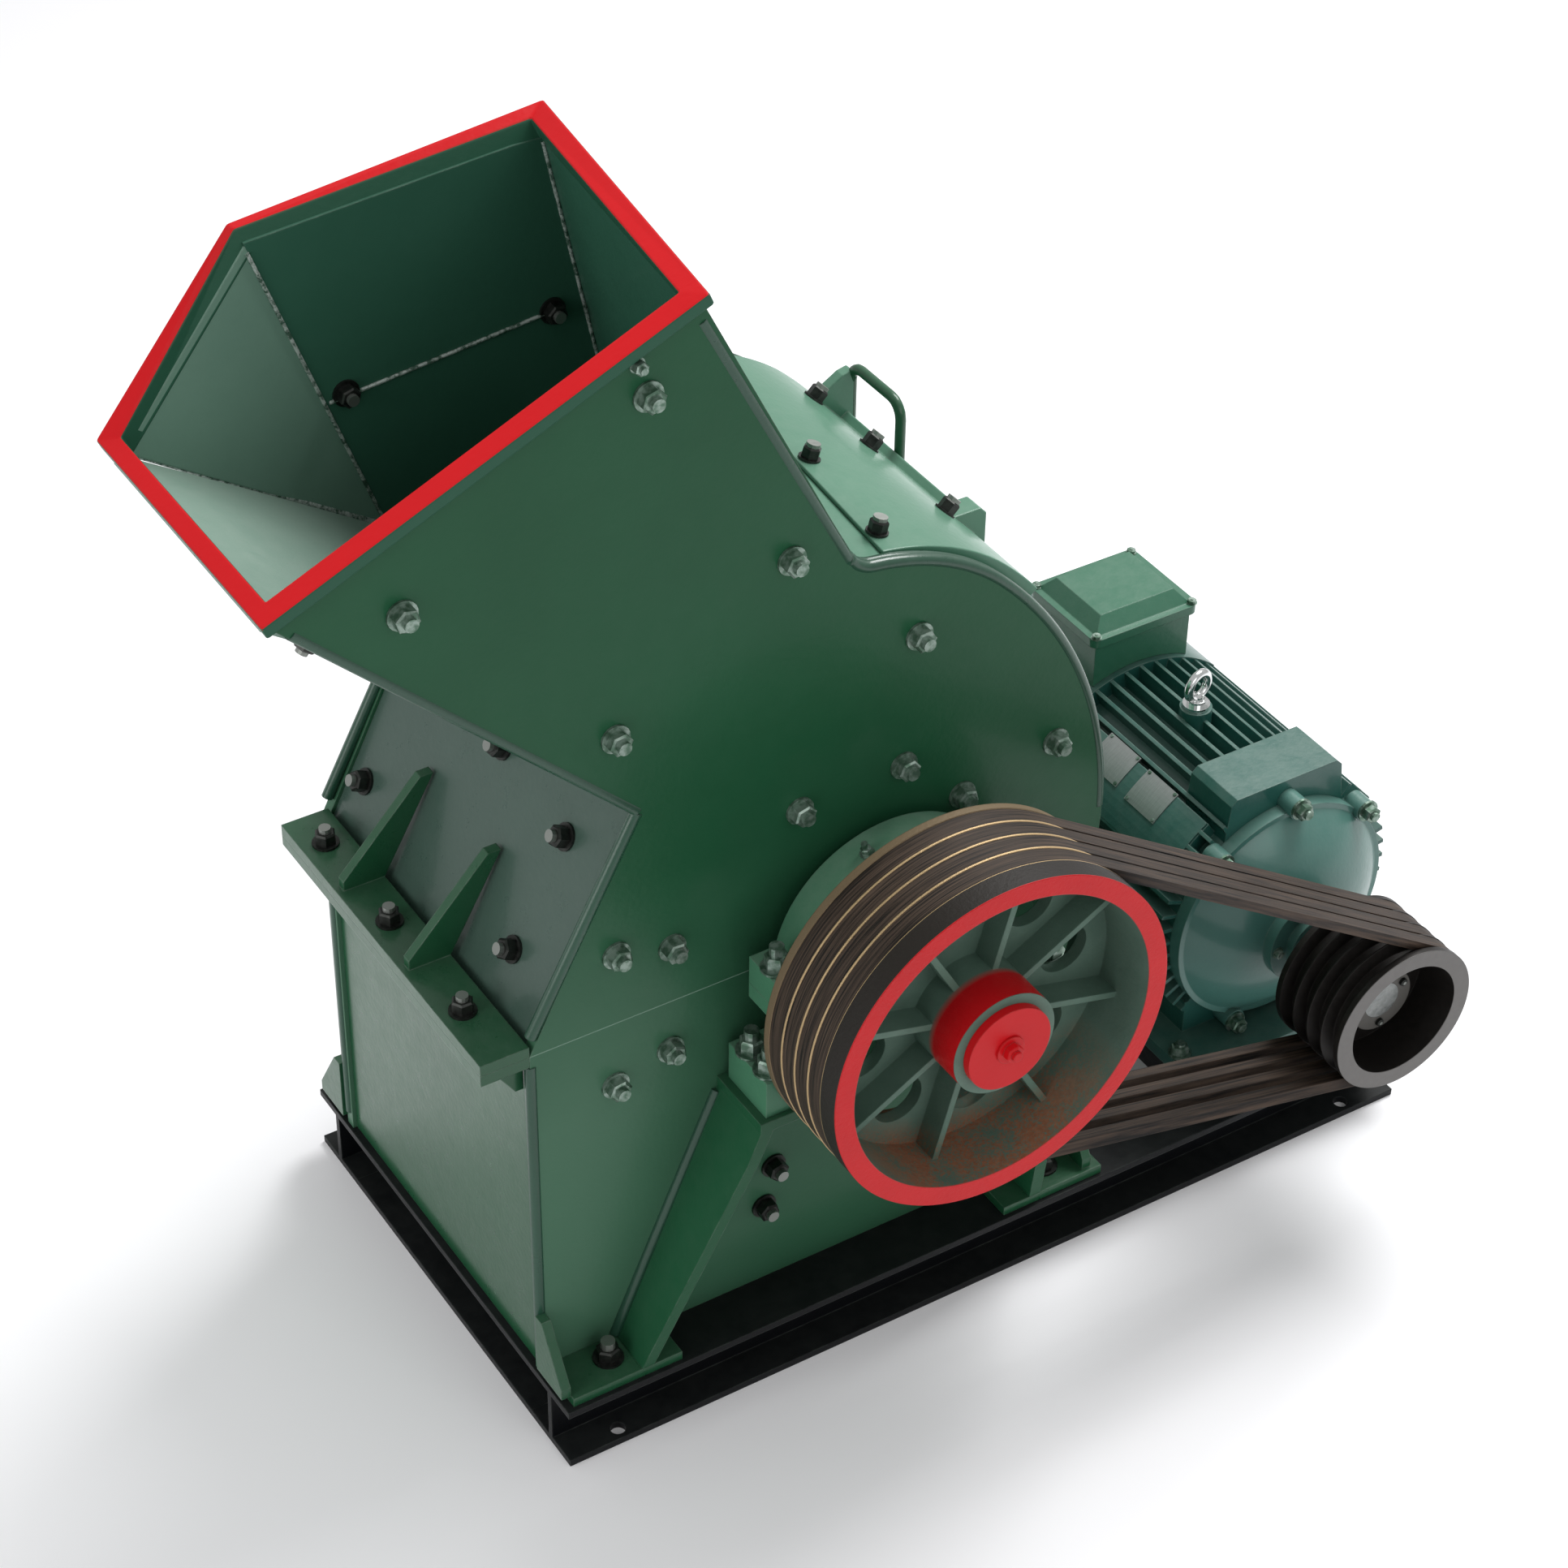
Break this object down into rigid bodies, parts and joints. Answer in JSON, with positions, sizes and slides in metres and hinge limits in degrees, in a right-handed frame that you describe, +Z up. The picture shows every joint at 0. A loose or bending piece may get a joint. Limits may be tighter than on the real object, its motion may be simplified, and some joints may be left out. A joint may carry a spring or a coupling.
{
  "type": "hammer crusher",
  "caption": "Hammer crusher on a steel base: slanted feed hopper, split welded casing, rotor on plummer blocks, spoked V-belt pulley driven by a finned electric motor.",
  "frame": {"origin": "centre of the foundation bolt holes, on the ground under the base", "axes": "+X to the motor end, -Y the pulley side, +Z up"},
  "size_m": [1.4619, 0.838, 1.4214],
  "materials": {
    "base_black": "satin black paint",
    "casing_green": "gloss green enamel",
    "bearing_green": "satin green enamel on iron",
    "motor_green": "satin teal green enamel",
    "pulley_green": "worn grey-green paint on cast iron",
    "pulley_iron": "dark oiled iron",
    "red_paint": "gloss red paint",
    "belt_rubber": "dull rubber",
    "bright_steel": "turned",
    "rotor_steel": "forged, worn"
  },
  "bodies": {
    "frame": {"base_beam_near": "base_black", "base_beam_far": "base_black", "base_end_left": "base_black", "base_end_right": "base_black", "base_cross": "base_black", "motor_rail_left": "base_black", "motor_rail_right": "base_black", "lower_plate_near": "casing_green", "lower_plate_far": "casing_green", "lower_plate_left": "casing_green", "lower_plate_right": "casing_green", "feet_near": "casing_green", "feet_far": "casing_green", "split_flange_lower": "casing_green", "split_flange_upper": "casing_green", "upper_plate_near": "casing_green", "upper_plate_far": "casing_green", "breast_plate": "casing_green", "hopper_floor": "casing_green", "hopper_far": "casing_green", "hopper_corner": "casing_green", "hopper_back": "casing_green", "hopper_rim": "red_paint", "top_deck": "casing_green", "rotor_cover": "casing_green", "cover_lid": "casing_green", "pedestal_near": "casing_green", "pedestal_far": "casing_green", "bearing_base_near": "bearing_green", "bearing_cap_near": "bearing_green", "bearing_base_far": "bearing_green", "bearing_cap_far": "bearing_green", "drive_belts": "belt_rubber", "motor_frame": "motor_green", "motor_shield": "motor_green", "motor_cowl": "motor_green", "terminal_box": "motor_green", "terminal_lid": "motor_green"},
    "rotor_unit": {"rotor_shaft": "bright_steel", "rotor": "rotor_steel", "large_pulley": "pulley_green", "hub_cap": "red_paint"},
    "motor_unit": {"motor_shaft": "bright_steel", "motor_pulley": "pulley_iron"}
  },
  "joints": [
    {"name": "rotor_spin", "type": "hinge", "parent": "frame", "child": "rotor_unit", "pos_m": [-0.15, 0, 0.564], "axis": [0, 1, 0], "continuous": true},
    {"name": "motor_spin", "type": "hinge", "parent": "frame", "child": "motor_unit", "pos_m": [0.443, -0.24, 0.307], "axis": [0, 1, 0], "continuous": true}
  ],
  "couplings": [
    {"joint": "motor_spin", "follows": "rotor_spin", "ratio": 2.2709}
  ]
}
